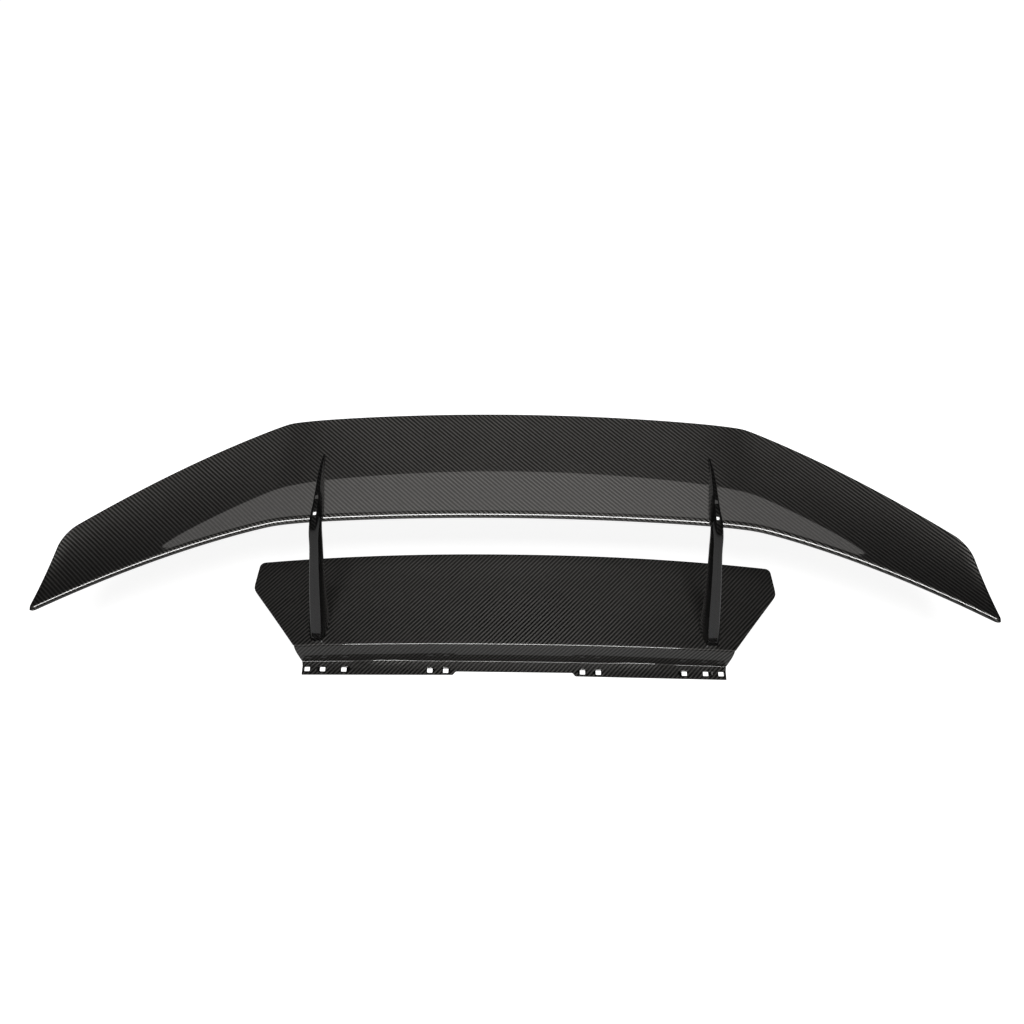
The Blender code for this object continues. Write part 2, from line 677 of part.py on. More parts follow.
def blade_mount(tag, side, skin, shells, core):
    """The insert, the ribs beside it and the screws that hold a fin to the blade."""
    insert = blade_insert(f"blade_insert_{tag}", side)
    for place, span in zip(("inner", "outer"), MOUNT_RIB_SPANS):
        blade_rib(f"blade_mount_rib_{tag}_{place}", side * span, MOUNT_RIB_REACH)
    for number, (x, y) in enumerate(FIN_BOLTS, start=1):
        seat = blade_top_z(x, y) - SKIN - INSERT_DEPTH - 5 * GAP
        place = (side * x, y, seat)
        hole = drill(f"fin_hole_{tag}_{number}", FIN_BOLT_RADIUS + GAP, -BOLT_RECESS,
                     FIN_BOLT_LENGTH + 0.001, place)
        for body in (insert, skin, core, *shells):
            cut(body, hole)
        cap_screw(f"blade_bolt_{tag}_{number}", FIN_BOLT_RADIUS, FIN_BOLT_LENGTH, place)


def build():
    skin = upper_skin()
    lower_skin()
    blade_spars()
    deck = base_moulding()
    under_tray()
    cross_beam()
    for tag, side in (("left", -1.0), ("right", 1.0)):
        blade_rib(f"blade_tip_rib_{tag}", side * TIP_RIB_SPAN, TIP_RIB_REACH)
        shells = [strut_shell(f"strut_outer_shell_{tag}", side, 1.0),
                  strut_shell(f"strut_inner_shell_{tag}", side, -1.0)]
        core = strut_core(f"strut_core_{tag}", side)
        blade_mount(tag, side, skin, shells, core)
        for hole in foot_parts(tag, side, deck):
            for shell in shells:
                cut(shell, hole)


for old in list(bpy.data.objects):
    bpy.data.objects.remove(old, do_unlink=True)

LOOKS = {
    "carbon": material("clear-coated carbon", (0.022, 0.022, 0.024), 0.30, coat=1.0),
    "aluminium": material("machined aluminium", (0.62, 0.63, 0.65), 0.35, 1.0),
    "steel": material("zinc-plated steel", (0.55, 0.56, 0.58), 0.30, 1.0),
}
build()
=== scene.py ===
"""Looks of the racing rear wing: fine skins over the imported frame, twill carbon, metal and a studio."""
from math import cos, pi, radians, sin, sqrt

import bmesh
import bpy
from mathutils import Matrix, Vector


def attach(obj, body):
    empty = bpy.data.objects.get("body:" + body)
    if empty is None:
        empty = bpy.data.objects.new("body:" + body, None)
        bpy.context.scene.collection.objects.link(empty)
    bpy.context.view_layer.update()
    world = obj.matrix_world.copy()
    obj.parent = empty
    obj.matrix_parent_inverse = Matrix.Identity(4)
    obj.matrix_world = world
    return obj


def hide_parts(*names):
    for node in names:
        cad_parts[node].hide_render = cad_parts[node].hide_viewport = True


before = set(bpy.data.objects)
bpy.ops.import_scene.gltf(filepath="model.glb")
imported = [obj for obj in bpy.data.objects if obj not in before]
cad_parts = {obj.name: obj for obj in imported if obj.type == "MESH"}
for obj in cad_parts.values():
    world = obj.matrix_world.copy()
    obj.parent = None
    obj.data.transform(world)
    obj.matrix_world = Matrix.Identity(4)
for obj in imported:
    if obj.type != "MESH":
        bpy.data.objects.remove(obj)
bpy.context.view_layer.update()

SIDES = (("left", -1.0), ("right", 1.0))
GAP = 0.0003          # clearance between neighbouring pieces

# The blade, the struts and the base are drawn from the same rules as the frame's solids, in metres.
SKIN = 0.0020
TIP_SPAN, TIP_SKEW, SKEW_START = 0.742, 0.024, 0.45
TIP_END, TIP_DETAIL = 0.741, 0.0395
FRONT_CORNER, REAR_CORNER = 0.010, 0.031
LEADING = dict(start=-0.0121, bow=0.128, kink=0.383, blend=0.018, sweep=0.206, curl=0.348)
TRAILING = dict(start=0.189, bow=0.168, kink=0.3745, blend=0.009, sweep=0.356, curl=0.375)
BLADE_TOP, DROOP_KINK, DROOP_BLEND, DROOP = 0.300, 0.330, 0.03, 0.0524
TOP_SLOPE, TOP_CURVE = 0.016, 0.110
NOSE_RISE, NOSE_LENGTH = 0.006, 0.05
BLUNTNESS, FULLNESS, EDGE_THICKNESS = 0.41, 0.12, 0.0025
BOND_FRONT, BOND_REAR = 0.036, 0.940
EDGE_ROUNDING = 0.0006

DECK_WALL, FLANGE_WALL = 0.0023, 0.0020
DECK_FRONT, DECK_FRONT_BOW = -0.0721, 0.0035
DECK_REAR, DECK_REAR_BOW = 0.106, 0.0165
DECK_HALF, DECK_NARROW, DECK_WIDEST, DECK_BLEND = 0.4515, 0.373, 0.68, 0.03
DECK_BASE, DECK_CROWN = 0.0315, 0.008
DECK_SIDE, DECK_CORNER, CORNER_START = 0.0074, 0.008, 0.85
DECK_SLOPE, DECK_CREASE, CREASE_BLEND = (0.155, 0.120), 0.020, 0.008
FLANGE_HALF, CREASE_HALF, BROW_HALF = 0.3585, 0.360, 0.3722
CREASE_Y, CREASE_BOW = -0.080, 0.005
EDGE_Y, TAB_Y, TAB_RAKE = -0.1014, -0.1085, 0.0035
TAB_INNER, TAB_BLEND = 0.101, 0.0035
CLIP_HOLES = (0.1157, 0.1425, 0.288, 0.324, 0.350)
CLIP_HOLE_SIZE, CLIP_HOLE_Y, CLIP_HOLE_ROUND = (0.009, 0.010), -0.1005, 0.0012
RAMP, RAMP_ENDS = 0.0026, (0.150, 0.200, 0.225, 0.282)
STRIP_DEPTH = 0.0175
RISER_LEAN = 0.09     # how far back the riser's foot leans for each unit that it climbs
TRAY_FRONT, TRAY_REAR = -0.064, 0.084
TRAY_HALF_FRONT, TRAY_HALF_REAR, TRAY_CORNER = 0.286, 0.305, 0.018
TRAY_FOOT_ROUND, TRAY_FOOT_INSET = 0.0035, 0.0065

# Each row is a cut across the strut: front y, z; back y, z; middle x at front and back; half widths.
STRUT_CUTS = (
    (-0.0670, 0.0345, 0.0060, 0.0450, 0.3345, 0.3290, 0.0095, 0.0165, 0.0070),
    (-0.0668, 0.0520, -0.0020, 0.0590, 0.3340, 0.3280, 0.0094, 0.0158, 0.0068),
    (-0.0660, 0.0900, -0.0140, 0.0940, 0.3320, 0.3252, 0.0089, 0.0140, 0.0062),
    (-0.0640, 0.1500, -0.0235, 0.1520, 0.3288, 0.3222, 0.0080, 0.0120, 0.0056),
    (-0.0605, 0.2100, -0.0285, 0.2110, 0.3252, 0.3186, 0.0069, 0.0106, 0.0052),
    (-0.0570, 0.2580, -0.0320, 0.2580, 0.3220, 0.3155, 0.0060, 0.0096, 0.0050),
    (-0.0515, 0.2920, -0.0315, 0.2890, 0.3210, 0.3145, 0.0055, 0.0094, 0.0056),
    (-0.0390, 0.3150, -0.0285, 0.3020, 0.3190, 0.3145, 0.0049, 0.0089, 0.0072),
    (-0.0190, 0.3270, -0.0140, 0.3010, 0.3165, 0.3149, 0.0042, 0.0076, 0.0083),
    (0.0070, 0.3290, 0.0070, 0.3000, 0.3160, 0.3150, 0.0034, 0.0063, 0.0083),
    (0.0360, 0.3260, 0.0360, 0.3000, 0.3163, 0.3158, 0.0028, 0.0052, 0.0071),
    (0.0690, 0.3210, 0.0690, 0.3000, 0.3160, 0.3158, 0.0022, 0.0036, 0.0045),
    (0.0900, 0.3168, 0.0910, 0.3000, 0.3151, 0.3150, 0.0016, 0.0024, 0.0029),
    (0.1030, 0.3142, 0.1060, 0.3000, 0.3143, 0.3140, 0.0010, 0.0014, 0.0017),
)
CUTS_BETWEEN = 8
FRONT_ROUND, BACK_ROUND = 0.0022, 0.0040
FIN_START = -0.016    # the fin rests on the blade behind this y
SEAM = 0.00008        # the struts' halves meet in a fine seam, filled by the clear coat

TOW = 0.0020          # width of a tow of the carbon cloth
CLOTH_SLANT = 0.90    # how far the cloth runs along a surface for its rise in y and z together
DECK_CLOTH_TURN = radians(4.0)
BLACK = (0.0, 0.0, 0.0, 1.0)


# ---------------------------------------------------------------- material nodes

class Graph:
    """A material's node tree, with short ways to add nodes."""

    def __init__(self, name):
        self.material = bpy.data.materials.new(name)
        self.material.use_nodes = True
        self.tree = self.material.node_tree
        self.shader = self.tree.nodes["Principled BSDF"]

    def plug(self, socket, value):
        """Link a node's output to a socket, or set a plain value on it."""
        if isinstance(value, bpy.types.NodeSocket):
            self.tree.links.new(value, socket)
        else:
            socket.default_value = value

    def math(self, operation, one, two=0.0):
        node = self.tree.nodes.new("ShaderNodeMath")
        node.operation = operation
        self.plug(node.inputs[0], one)
        self.plug(node.inputs[1], two)
        return node.outputs[0]

    def mix(self, factor, one, two):
        """A number between two others."""
        node = self.tree.nodes.new("ShaderNodeMix")
        for socket, value in zip(node.inputs[0:4], (factor, None, one, two)):
            if value is not None:
                self.plug(socket, value)
        return node.outputs[0]

    def blend_colours(self, factor, one, two):
        node = self.tree.nodes.new("ShaderNodeMix")
        node.data_type = "RGBA"
        self.plug(node.inputs["Factor"], factor)
        self.plug(node.inputs["A"], one)
        self.plug(node.inputs["B"], two)
        return node.outputs["Result"]

    def place(self):
        """Where a point of the object is, in metres."""
        where = self.tree.nodes.new("ShaderNodeTexCoord").outputs["Object"]
        parts = self.tree.nodes.new("ShaderNodeSeparateXYZ")
        self.plug(parts.inputs[0], where)
        return where, parts.outputs

    def vector(self, x, y, z=0.0):
        node = self.tree.nodes.new("ShaderNodeCombineXYZ")
        for socket, value in zip(node.inputs, (x, y, z)):
            self.plug(socket, value)
        return node.outputs[0]

    def noise(self, where, scale, detail):
        node = self.tree.nodes.new("ShaderNodeTexNoise")
        self.plug(node.inputs["Vector"], where)
        for name, value in (("Scale", scale), ("Detail", detail), ("Roughness", 0.55)):
            node.inputs[name].default_value = value
        return node.outputs["Fac"]

    def bump(self, height, distance, strength):
        node = self.tree.nodes.new("ShaderNodeBump")
        node.inputs["Strength"].default_value = strength
        node.inputs["Distance"].default_value = distance
        self.plug(node.inputs["Height"], height)
        return node.outputs[0]

    def set(self, **values):
        """Fill the shader's inputs, whose names have spaces where these have underscores."""
        for name, value in values.items():
            self.plug(self.shader.inputs[name.replace("_", " ")], value)


def twill(graph, turn, mirrored):
    """A two-by-two twill: which tow lies on top, its rounded height, and its fibres."""
    parts = graph.place()[1]
    x = parts["X"]
    y = graph.math("MULTIPLY", graph.math("ADD", parts["Y"], parts["Z"]), CLOTH_SLANT)
    u = graph.math("ADD", graph.math("MULTIPLY", x, cos(turn) / TOW),
                   graph.math("MULTIPLY", y, sin(turn) / TOW))
    v = graph.math("SUBTRACT", graph.math("MULTIPLY", y, cos(turn) / TOW),
                   graph.math("MULTIPLY", x, sin(turn) / TOW))
    if mirrored:
        v = graph.math("MULTIPLY", v, -1.0)
    row, column = graph.math("FLOOR", v), graph.math("FLOOR", u)
    order = graph.math("FLOORED_MODULO", graph.math("ADD", row, column), 4.0)
    weft_up = graph.math("GREATER_THAN", order, 1.5)
    crowns, fibres = [], []
    warp_run, weft_run = graph.math("ADD", column, v), graph.math("ADD", row, u)
    for cross, run, shift, seed in ((u, warp_run, 0.0, column), (v, weft_run, -2.0, row)):
        across_tow = graph.math("MULTIPLY", graph.math("FRACT", cross), pi)
        float_place = graph.math("FLOORED_MODULO", graph.math("ADD", run, shift), 4.0)
        along_float = graph.math("MULTIPLY", float_place, pi / 2)
        crown = graph.math("MULTIPLY", graph.math("SINE", across_tow), graph.math("SINE", along_float))
        crowns.append(graph.math("POWER", graph.math("ABSOLUTE", crown), 0.45))
        strand = graph.vector(graph.math("MULTIPLY", cross, 7.0), graph.math("MULTIPLY", run, 0.18),
                              graph.math("MULTIPLY", seed, 1.7))
        fibres.append(graph.noise(strand, 1.0, 2.0))
    height = graph.mix(weft_up, crowns[0], crowns[1])
    fibre = graph.mix(weft_up, fibres[0], fibres[1])
    return weft_up, height, fibre


def carbon(name, turn, mirrored, dark, light):
    """Twill carbon under a clear coat: each tow spreads its gloss by its own fibres' direction. Its
    colour also holds painted light: the weft tows are painted lighter and the warp tows darker, a painted
    highlight and painted shade for how each direction of fibre catches the lamps, and every tow is
    painted darker towards its edges and where it dips under its neighbour, painted shade in the grooves
    of the weave.
    """
    graph = Graph(name)
    weft_up, height, fibre = twill(graph, turn, mirrored)
    where = graph.place()[0]
    drift = graph.mix(graph.noise(where, 9.0, 2.0), 0.86, 1.14)
    tone = graph.math("MULTIPLY", graph.mix(fibre, 0.55, 1.45), drift)
    # Painted shade: the colour falls to about a third towards each tow's edges and where it dips under
    # its neighbour, the grooves of the weave.
    shade = graph.math("MULTIPLY", graph.mix(height, 0.35, 1.0), tone)
    # Painted highlight and painted shade: the weft tows take the lighter colour and the warp tows the
    # darker one, for the glint of their fibres under the lamps.
    level = graph.math("MULTIPLY", graph.mix(weft_up, dark, light), shade)
    across = graph.vector(graph.math("SUBTRACT", 1.0, weft_up), weft_up, weft_up)
    graph.set(Base_Color=graph.blend_colours(level, BLACK, (1.0, 0.972, 0.930, 1.0)), Metallic=1.0,
              Roughness=graph.mix(fibre, 0.50, 0.40), Normal=graph.bump(height, 0.00010, 0.4),
              Anisotropic=0.8, Tangent=across,
              Coat_Weight=1.0, Coat_Roughness=0.02, Coat_IOR=1.5)
    ripple = graph.noise(where, 30.0, 1.0)
    graph.plug(graph.shader.inputs["Coat Normal"], graph.bump(ripple, 0.00003, 0.10))
    return graph.material


def laminate(name):
    """Bare laminate of the pieces inside: the same cloth with a dull, slightly resin-starved face, whose
    weft tows are painted lighter and warp tows darker, a painted highlight and painted shade for the
    fibres' glint.
    """
    graph = Graph(name)
    weft_up, height, fibre = twill(graph, 0.0, False)
    # Painted highlight and painted shade: weft tows lighter, warp tows darker.
    level = graph.math("MULTIPLY", graph.mix(weft_up, 0.018, 0.045), graph.mix(fibre, 0.6, 1.4))
    graph.set(Base_Color=graph.blend_colours(level, BLACK, (1.0, 0.98, 0.95, 1.0)),
              Roughness=graph.mix(height, 0.62, 0.44), Normal=graph.bump(height, 0.00012, 0.8))
    return graph.material


def machined(name, colour, coarse, fine):
    """Milled or turned metal: fine tool marks, a little cloudiness and softer, brighter spots."""
    graph = Graph(name)
    where, parts = graph.place()
    stretched = [graph.math("MULTIPLY", parts[axis], scale)
                 for axis, scale in (("X", 4000.0), ("Y", 160.0), ("Z", 900.0))]
    marks = graph.noise(graph.vector(*stretched), 1.0, 2.0)
    cloud = graph.noise(where, 60.0, 3.0)
    dull = tuple(0.82 * part for part in colour)
    graph.set(Base_Color=graph.blend_colours(cloud, (*dull, 1.0), (*colour, 1.0)), Metallic=1.0,
              Roughness=graph.math("ADD", graph.mix(marks, fine, coarse), graph.mix(cloud, -0.04, 0.04)),
              Normal=graph.bump(marks, 0.00002, 0.35))
    return graph.material


def floor_material():
    """A pale studio sweep with the faintest mottle, which the camera sees as almost white."""
    graph = Graph("pale floor")
    mottle = graph.noise(graph.place()[0], 3.0, 4.0)
    seen = graph.tree.nodes.new("ShaderNodeLightPath").outputs["Is Camera Ray"]
    graph.set(Base_Color=graph.blend_colours(mottle, (0.62, 0.62, 0.62, 1.0), (0.66, 0.66, 0.66, 1.0)),
              Roughness=0.7, Emission_Color=(1.0, 1.0, 1.0, 1.0),
              Emission_Strength=graph.mix(seen, *FLOOR_GLOW))
    return graph.material


# ---------------------------------------------------------------- meshes

def place_mesh(name, work, look):
    """Turn a bmesh into an object of the scene."""
    mesh = bpy.data.meshes.new(name)
    work.to_mesh(mesh)
    work.free()
    mesh.materials.append(look)
    made = bpy.data.objects.new(name, mesh)
    bpy.context.collection.objects.link(made)
    return made


def finish_mesh(name, work, look, sharp):
    """Face a closed mesh outwards and shade it smooth up to a sharp angle in degrees."""
    bmesh.ops.recalc_face_normals(work, faces=work.faces)
    if work.calc_volume(signed=True) < 0:
        bmesh.ops.reverse_faces(work, faces=work.faces)
    made = place_mesh(name, work, look)
    made.data.shade_smooth()
    made.data.set_sharp_from_angle(angle=radians(sharp))
    return made


def thick_sheet(name, outer, inner, look, sharp):
    """Close the space between two grids of points that lie a wall apart."""
    work = bmesh.new()
    out, back = [[[work.verts.new(point) for point in row] for row in grid] for grid in (outer, inner)]
    last_row, last_column = len(outer) - 1, len(outer[0]) - 1
    for skin in (out, back):
        for row, following in zip(skin, skin[1:]):
            for column in range(last_column):
                work.faces.new((row[column], row[column + 1], following[column + 1], following[column]))
    for row in (0, last_row):
        for column in range(last_column):
            work.faces.new((out[row][column], out[row][column + 1],
                            back[row][column + 1], back[row][column]))
    for column in (0, last_column):
        for row in range(last_row):
            work.faces.new((out[row][column], out[row + 1][column],
                            back[row + 1][column], back[row][column]))
    return finish_mesh(name, work, look, sharp)


def loft(name, rings, look, sharp=40.0):
    """Join rings of points into a closed solid."""
    work = bmesh.new()
    loops = [[work.verts.new(point) for point in ring] for ring in rings]
    for one, two in zip(loops, loops[1:]):
        for here in range(len(one)):
            after = (here + 1) % len(one)
            work.faces.new((one[here], one[after], two[after], two[here]))
    work.faces.new(loops[0])
    work.faces.new(loops[-1])
    return finish_mesh(name, work, look, sharp)


def cut(piece, cutters):
    """Take the cutters out of a piece, and the cutters out of the scene."""
    for cutter in cutters:
        step = piece.modifiers.new("cut", "BOOLEAN")
        step.operation = "DIFFERENCE"
        step.solver = "EXACT"
        step.object = cutter
    bpy.context.view_layer.update()
    seen = piece.evaluated_get(bpy.context.evaluated_depsgraph_get())
    mesh = bpy.data.meshes.new_from_object(seen)
    piece.modifiers.clear()
    piece.data = mesh
    for cutter in cutters:
        bpy.data.objects.remove(cutter, do_unlink=True)


def spread(start, end, count):
    """Evenly spaced numbers from start to end."""
    return [start + (end - start) * step / (count - 1) for step in range(count)]


# ---------------------------------------------------------------- blade

def past_kink(span, kink, blend):
    """Nothing inboard of the kink and the distance past it outboard, with a soft corner."""
    return 0.5 * (span - kink + sqrt((span - kink) ** 2 + blend ** 2))


def edge_y(span, start, bow, kink, blend, sweep, curl):
    """Where a bowed edge runs that sweeps forward outboard of its kink."""
    past = past_kink(span, kink, blend) - past_kink(0.0, kink, blend)
    return start - bow * span ** 2 - sweep * past - curl * past ** 2


def corner_cut(span, radius):
    """How far a rounded corner of the tip has come in at this span, and its roundness left."""
    depth = max(0.0, (span - TIP_SPAN + radius) / radius)
    left = sqrt(max(0.0, 1.0 - depth ** 2))
    return radius * (1.0 - left), left


def section(span):
    """The nose, the chord, the height, the skew and the fullness at a distance from the middle."""
    lead_cut, left = corner_cut(span, FRONT_CORNER)
    trail_cut = corner_cut(span, REAR_CORNER)[0]
    skew = TIP_SKEW * min(1.0, max(0.0, (span - SKEW_START) / (TIP_SPAN - SKEW_START))) ** 2
    nose = edge_y(span, **LEADING) + lead_cut
    chord = edge_y(span - skew, **TRAILING) - trail_cut - nose
    height = BLADE_TOP - DROOP * past_kink(span, DROOP_KINK, DROOP_BLEND)
    return nose, chord, height, skew, 0.35 + 0.65 * left


def rise(along, chord):
    """Height of the top surface over its height just behind the nose."""
    climb = chord * (TOP_SLOPE * along + TOP_CURVE * along ** 2)
    if along >= NOSE_LENGTH:
        return climb
    return climb - NOSE_RISE * (1.0 - sqrt(1.0 - (1.0 - along / NOSE_LENGTH) ** 2))


def thickness(along, chord, fullness):
    """Depth of the blade's section, full and blunt at the nose and thin at the rear edge."""
    nose_part = BLUNTNESS * chord * sqrt(along) * (1.0 - along) ** 3
    body_part = FULLNESS * chord * along * (1.0 - along)
    return fullness * (nose_part + body_part) + EDGE_THICKNESS * along


def blade_point(span, along, under=0.0):
    """A point of the blade: under is 0 on its top surface and 1 on its underside."""
    nose, chord, height, skew, fullness = section(abs(span))
    side = 1.0 if span >= 0 else -1.0
    drop = under * thickness(along, chord, fullness)
    return Vector((side * (abs(span) - skew * along), nose + along * chord,
                   height + rise(along, chord) - drop))


def walls_at(span, places):
    """The skin's thickness along a section, less where the section is thin."""
    chord, fullness = section(abs(span))[1], section(abs(span))[4]
    return [min(SKIN, 0.4 * (thickness(max(along, 0.08), chord, fullness) - 2 * GAP)) for along in places]


def inset(points, depths):
    """Points moved towards the inside of a section that runs forwards along its top."""
    moved = []
    for number, point in enumerate(points):
        before = points[max(number - 1, 0)]
        after = points[min(number + 1, len(points) - 1)]
        along = Vector((0.0, after.y - before.y, after.z - before.z)).normalized()
        moved.append(point + depths[number] * Vector((0.0, -along.z, along.y)))
    return moved


def blade_stations():
    """Spans from tip to tip, closest together where the outline turns."""
    half = spread(0.0, 0.30, 13) + spread(0.31, 0.45, 22) + spread(0.465, 0.70, 18)
    half += [TIP_END - TIP_DETAIL * cos(pi / 2 * step / 14) ** 1.5 for step in range(1, 15)]
    return [-span for span in reversed(half[1:])] + half


def upper_skin(look):
    """The top, the nose and the solid trailing edge, whose corners are rounded."""
    top = [BOND_REAR] + spread(0.92, 0.16, 20) + [0.13, 0.10, 0.08, 0.065]
    top += [NOSE_LENGTH * (1.0 - cos(pi / 2 * (1.0 - step / 12))) for step in range(1, 12)]
    under = [0.0] + [(BOND_FRONT - 0.005) * (step / 9) ** 2 for step in range(1, 10)]
    edge = (1.0, 0.998, 0.985, 0.96, BOND_REAR + 0.006)
    outer, inner = [], []
    for span in blade_stations():
        outside = [blade_point(span, along) for along in top]
        outside += [blade_point(span, along, 1.0) for along in under]
        rim = [blade_point(span, along) for along in edge]
        low = [blade_point(span, along, 1.0) for along in edge]
        rim[0].z -= EDGE_ROUNDING
        low[0].z += EDGE_ROUNDING
        outer.append(rim + outside)
        inner.append(low + inset(outside, walls_at(span, top + under)))
    return thick_sheet("blade_top_shell", outer, inner, look, 50.0)


def lower_skin(look):
    """The underside, bonded inside the upper skin's rims."""
    places = spread(BOND_FRONT, 0.10, 8) + spread(0.125, 0.90, 22) + [BOND_REAR - 0.004]
    outer, inner = [], []
    for span in blade_stations():
        outside = [blade_point(span, along, 1.0) for along in places]
        outer.append(outside)
        inner.append(inset(outside, walls_at(span, places)))
    return thick_sheet("blade_under_shell", outer, inner, look, 50.0)


def blade_top_z(x, y):
    """Height of the blade's top behind its nose."""
    nose, chord, height = section(abs(x))[:3]
    return height + rise((y - nose) / chord, chord)


# ---------------------------------------------------------------- struts

def between(rows, place):
    """A row read from a smooth curve through the given ones."""
    index = min(int(place), len(rows) - 2)
    part = place - index
    four = [rows[min(max(index + step, 0), len(rows) - 1)] for step in (-1, 0, 1, 2)]
    weights = (-0.5 * part + part ** 2 - 0.5 * part ** 3,
               1.0 - 2.5 * part ** 2 + 1.5 * part ** 3,
               0.5 * part + 2.0 * part ** 2 - 1.5 * part ** 3,
               -0.5 * part ** 2 + 0.5 * part ** 3)
    return [sum(weight * row[column] for weight, row in zip(weights, four))
            for column in range(len(rows[0]))]


class StrutCut:
    """One cut across a strut, which lands on the deck at one end and on the blade at the other."""

    def __init__(self, place, side):
        row = between(STRUT_CUTS, place)
        self.side = side
        self.front = Vector((row[4], row[0], row[1]))
        self.back = Vector((row[5], row[2], row[3]))
        self.halves = row[6:9]
        self.landing = max(0.0, 1.0 - place)
        if self.landing:
            self.front.z, self.back.z = STRUT_CUTS[1][1], STRUT_CUTS[1][3]
        if self.back.y > FIN_START and place > 5:
            self.back.z = blade_top_z(self.back.x, self.back.y) + GAP
        self.length = (self.back - self.front).length

    def half_width(self, along):
        """A smooth curve through the half widths at the front, the middle and the back."""
        front, middle, back = self.halves
        return (front * (1 - along) * (1 - 2 * along) + middle * 4 * along * (1 - along)
                + back * along * (2 * along - 1))

    def point(self, along, sideways):
        """A point of the cut, which follows the deck where the strut lands on it."""
        here = self.front.lerp(self.back, along)
        x = here.x + sideways
        ground = deck_z(x, here.y) + 1.5 * GAP
        return Vector((self.side * x, here.y, here.z + self.landing * (ground - here.z)))

    def outline(self, outward):
        """Half of the cut's outline, from the middle of its flat front round to its back."""
        round_front = min(FRONT_ROUND, 0.45 * self.halves[0])
        round_back = min(BACK_ROUND, 0.6 * self.halves[2])
        places = [(0.0, SEAM / 2), (0.0, 0.5 * (self.half_width(0.0) - round_front))]
        for step in range(6):
            turn = pi / 2 * step / 5
            along = round_front * (1 - cos(turn)) / self.length
            places.append((along, self.half_width(along) - round_front * (1 - sin(turn))))
        first = 1.6 * round_front / self.length
        last = 1.0 - 1.3 * round_back / self.length
        places += [(along, self.half_width(along)) for along in spread(first, last, 12)]
        for step in range(6):
            turn = pi / 2 * step / 5
            along = 1.0 - round_back * (1 - sin(turn)) / self.length
            places.append((along, self.half_width(along) - round_back * (1 - cos(turn))))
        places.append((1.0, SEAM / 2))
        return [self.point(along, outward * sideways) for along, sideways in places]

    def hollow(self, outward, count):
        """The inside of the same half, a skin's thickness in."""
        wall = min(0.3, SKIN / self.length)
        places = [(wall, SEAM / 2)]
        for along in spread(wall, 1.0 - wall, count - 2):
            places.append((along, max(SEAM / 2, self.half_width(along) - SKIN)))
        places.append((1.0 - wall, SEAM / 2))
        return [self.point(along, outward * sideways) for along, sideways in places]


def strut_shell(name, side, outward, look):
    """Half of a strut's skin: outward is 1 for the half on the car's outside."""
    outer, inner = [], []
    count = (len(STRUT_CUTS) - 1) * CUTS_BETWEEN
    for step in range(count + 1):
        piece = StrutCut(step / CUTS_BETWEEN, side)
        outside = piece.outline(outward)
        outer.append(outside)
        inner.append(piece.hollow(outward, len(outside)))
    return thick_sheet(name, outer, inner, look, 45.0)


# ---------------------------------------------------------------- base

def deck_z(x, y):
    """Height of the deck's top, crowned across the car and sloping up to the rear."""
    before, after = DECK_SLOPE
    past = past_kink(y, DECK_CREASE, CREASE_BLEND)
    crown = DECK_CROWN * (1.0 - (x / DECK_HALF) ** 2)
    return DECK_BASE + crown + before * (y - DECK_FRONT) + (after - before) * past


def deck_front_y(x):
    return DECK_FRONT - DECK_FRONT_BOW * (x / 0.371) ** 2


def deck_rear_y(x):
    return DECK_REAR - DECK_REAR_BOW * (abs(x) / 0.425) ** 2.2


def flange_crease_y(x):
    return CREASE_Y - CREASE_BOW * (x / CREASE_HALF) ** 2


def eased(part):
    """A smooth step from 0 to 1."""
    part = min(1.0, max(0.0, part))
    return part * part * (3.0 - 2.0 * part)


def flange_edge_y(x):
    """The flange's front edge, cut back between its two tabs."""
    tab = eased((abs(x) - TAB_INNER + TAB_BLEND) / (2 * TAB_BLEND))
    tab_edge = TAB_Y - TAB_RAKE * (abs(x) - TAB_INNER) / (FLANGE_HALF - TAB_INNER)
    return EDGE_Y + tab * (tab_edge - EDGE_Y)


def ramp(x):
    """How high the flange stands at its crease with the riser over its flat strip."""
    start, top_start, top_end, end = RAMP_ENDS
    return RAMP * eased(min((abs(x) - start) / (top_start - start), (end - abs(x)) / (end - top_end)))


def deck_half_width(along):
    """Half width of the deck from its front crease (0) to its rear edge (1)."""
    slant = (DECK_HALF - DECK_NARROW) / DECK_WIDEST
    past = along - DECK_WIDEST
    wide = DECK_HALF + slant * 0.5 * (past - sqrt(past ** 2 + DECK_BLEND ** 2))
    if past <= 0:
        return wide
    past /= 1.0 - DECK_WIDEST
    turned = max(0.0, (past - CORNER_START) / (1.0 - CORNER_START))
    return wide - DECK_SIDE * past - DECK_CORNER * (1.0 - sqrt(max(0.0, 1.0 - turned ** 2)))


def base_columns():
    """Places across the base from side to side, closest together where its tabs begin."""
    step = TAB_INNER / FLANGE_HALF
    half = spread(0.0, step - 0.012, 9) + spread(step - 0.010, step + 0.010, 11)
    half += spread(step + 0.014, 0.985, 30) + [0.993, 0.998, 1.0]
    return [-place for place in reversed(half[1:])] + half


def bend(points, count=5):
    """Points along a curve that starts and ends along two straight runs and rounds their corner."""
    start, corner, end = points
    return [start * (1 - t) ** 2 + corner * 2 * t * (1 - t) + end * t ** 2 for t in spread(0, 1, count)]


def curve(points, t):
    """A point of a cubic curve with four control points."""
    one, two, three, four = points
    return one * (1 - t) ** 3 + two * 3 * t * (1 - t) ** 2 + three * 3 * t * t * (1 - t) + four * t ** 3


